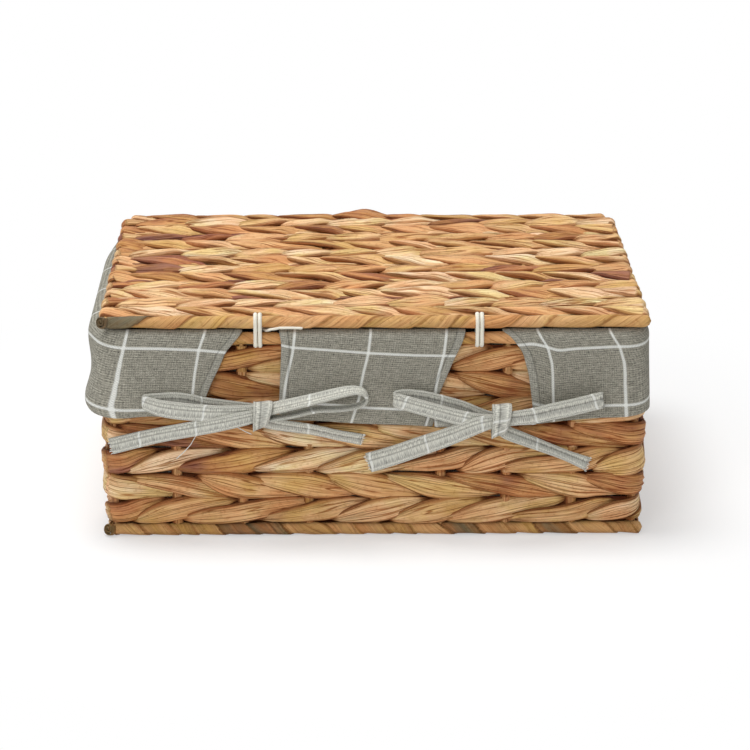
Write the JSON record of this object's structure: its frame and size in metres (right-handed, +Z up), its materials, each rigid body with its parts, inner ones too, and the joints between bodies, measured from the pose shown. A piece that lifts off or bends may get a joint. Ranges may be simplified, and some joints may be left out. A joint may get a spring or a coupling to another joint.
{
  "type": "woven lidded box",
  "caption": "Rectangular box twined from water hyacinth on a wire frame, with a flat lid on cord hinges and a tied cloth liner folded over the rim.",
  "frame": {"origin": "on the floor under the middle of the base", "axes": "+Z up, +X to the right seen from the hinge side, hinge side towards -Y"},
  "size_m": [0.3394, 0.2548, 0.1431],
  "materials": {
    "frame_wire": "satin",
    "hyacinth": "dry natural fibre",
    "hyacinth_roll": "dry natural fibre",
    "hinge_cord": "matt cotton",
    "liner_cloth": "matt woven cotton"
  },
  "bodies": {
    "basket": {"basket_wire_frame": "frame_wire", "base_course_1": "hyacinth", "base_course_2": "hyacinth", "base_course_3": "hyacinth", "base_course_4": "hyacinth", "base_course_5": "hyacinth", "base_course_6": "hyacinth", "base_course_7": "hyacinth", "base_course_8": "hyacinth", "base_course_9": "hyacinth", "base_course_10": "hyacinth", "base_course_11": "hyacinth", "base_course_12": "hyacinth", "base_course_13": "hyacinth", "base_roll_hinge_side": "hyacinth_roll", "base_roll_far_side": "hyacinth_roll", "wall_course_1": "hyacinth", "wall_course_2": "hyacinth", "wall_course_3": "hyacinth", "wall_course_4": "hyacinth", "wall_course_5": "hyacinth", "wall_course_6": "hyacinth", "wall_course_7": "hyacinth", "rim_roll": "hyacinth_roll", "liner_bag": "liner_cloth", "liner_cuff_wrap": "liner_cloth", "liner_cuff_center": "liner_cloth", "left_bow_knot": "liner_cloth", "left_bow_loop_left": "liner_cloth", "left_bow_loop_right": "liner_cloth", "left_bow_tail_left": "liner_cloth", "left_bow_tail_right": "liner_cloth", "right_bow_knot": "liner_cloth", "right_bow_loop_left": "liner_cloth", "right_bow_loop_right": "liner_cloth", "right_bow_tail_left": "liner_cloth", "right_bow_tail_right": "liner_cloth"},
    "hinge_cords": {"hinge_cord_left": "hinge_cord", "hinge_cord_right": "hinge_cord"},
    "lid": {"lid_wire_frame": "frame_wire", "lid_course_1": "hyacinth", "lid_course_2": "hyacinth", "lid_course_3": "hyacinth", "lid_course_4": "hyacinth", "lid_course_5": "hyacinth", "lid_course_6": "hyacinth", "lid_course_7": "hyacinth", "lid_course_8": "hyacinth", "lid_course_9": "hyacinth", "lid_course_10": "hyacinth", "lid_course_11": "hyacinth", "lid_course_12": "hyacinth", "lid_roll_hinge_side": "hyacinth_roll", "lid_roll_far_side": "hyacinth_roll"}
  },
  "joints": [
    {"name": "cord_swing", "type": "hinge", "parent": "basket", "child": "hinge_cords", "pos_m": [0, -0.1117, 0.126], "axis": [1, 0, 0], "range_deg": [0, 100]},
    {"name": "lid_swing", "type": "hinge", "parent": "hinge_cords", "child": "lid", "pos_m": [0, -0.1117, 0.13626], "axis": [1, 0, 0], "range_deg": [0, 100]}
  ],
  "couplings": [
    {"joint": "cord_swing", "follows": "lid_swing", "ratio": 1}
  ]
}
